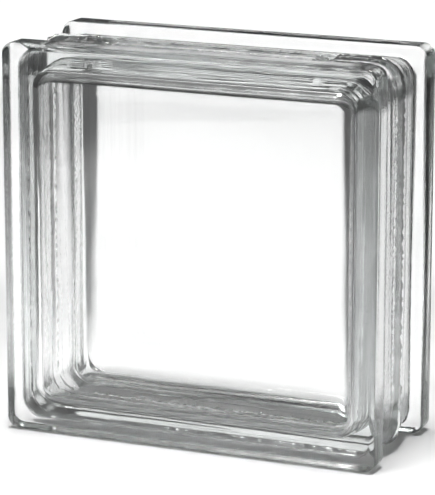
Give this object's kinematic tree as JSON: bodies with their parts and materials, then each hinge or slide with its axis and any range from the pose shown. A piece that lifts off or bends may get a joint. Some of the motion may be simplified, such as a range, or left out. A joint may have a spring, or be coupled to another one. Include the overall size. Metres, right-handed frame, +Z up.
{
  "type": "glass block",
  "caption": "Hollow square clear glass wall block, made of pressed half shells fused at a seam, with a mortar channel round all four edges.",
  "frame": {"origin": "middle of the base: halfway along the block, on the fused seam, at the height of the flange edges that it stands on", "axes": "+X along the wall, +Y through the wall from the front face to the back face, +Z up; the troughed edge is on top"},
  "size_m": [0.19, 0.08, 0.19],
  "materials": {
    "glass": "clear pressed glass, fire polished"
  },
  "bodies": {
    "root": {"front_half": "glass", "back_half": "glass"}
  },
  "joints": []
}
